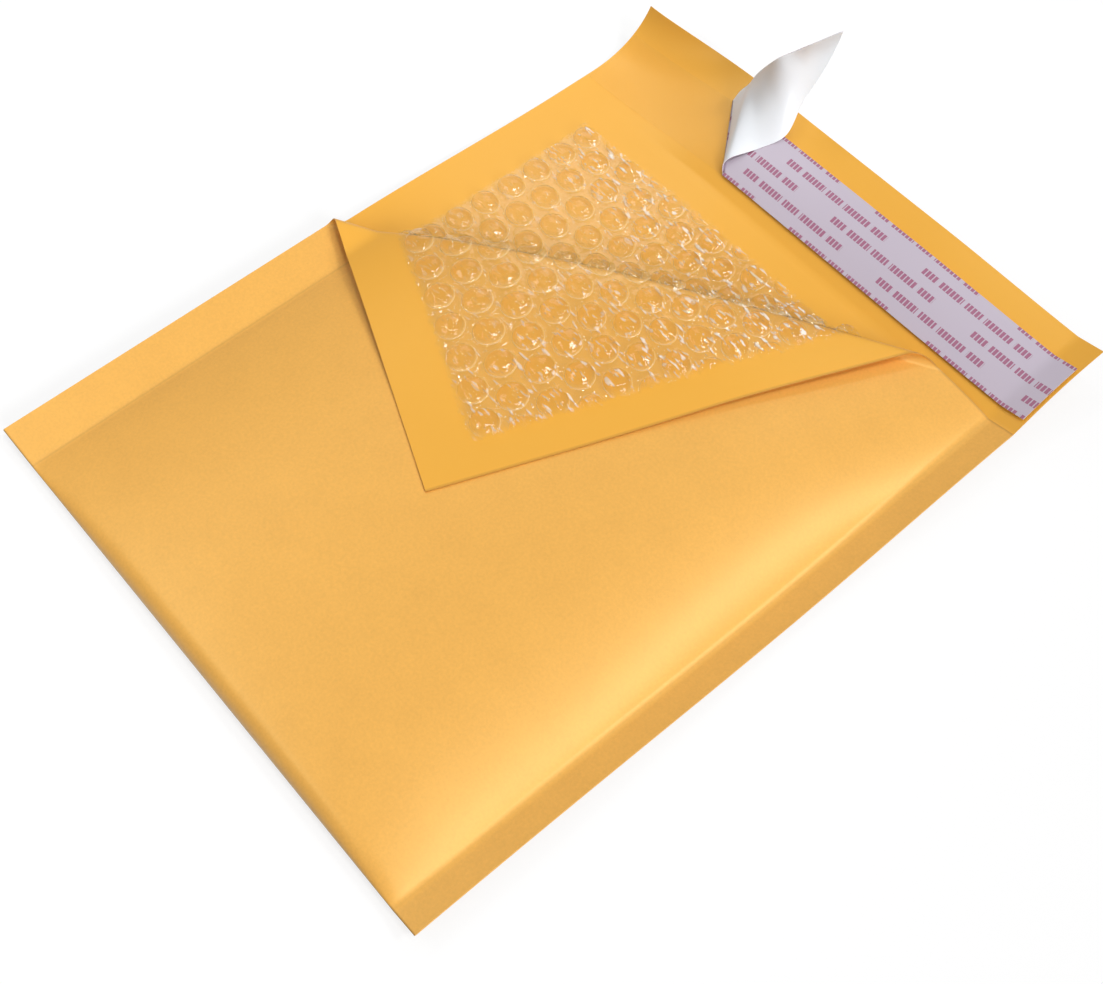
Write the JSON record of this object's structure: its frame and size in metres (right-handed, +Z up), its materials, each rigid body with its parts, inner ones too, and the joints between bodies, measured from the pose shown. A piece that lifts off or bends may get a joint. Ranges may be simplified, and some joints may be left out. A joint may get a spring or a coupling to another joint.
{
  "type": "padded envelope",
  "caption": "Kraft paper padded envelope with bubble film lining, the front corner turned back, and a self-seal flap whose release liner is partly peeled.",
  "frame": {"origin": "middle of the bounding box in X and Y, on the floor the envelope lies on", "axes": "+Z up from the back panel to the front panel, +Y from the bottom fold to the flap, +X across the width"},
  "size_m": [0.24, 0.3434, 0.0591],
  "materials": {
    "kraft": "golden kraft, matt with a faint sheen",
    "bubble_film": "clear glossy film",
    "glue": "clear tacky film over kraft",
    "liner": "smooth silicone paper"
  },
  "bodies": {
    "root": {"kraft_sleeve": "kraft", "bubble_lining": "bubble_film", "adhesive_strip": "glue", "release_liner": "liner"}
  },
  "joints": []
}
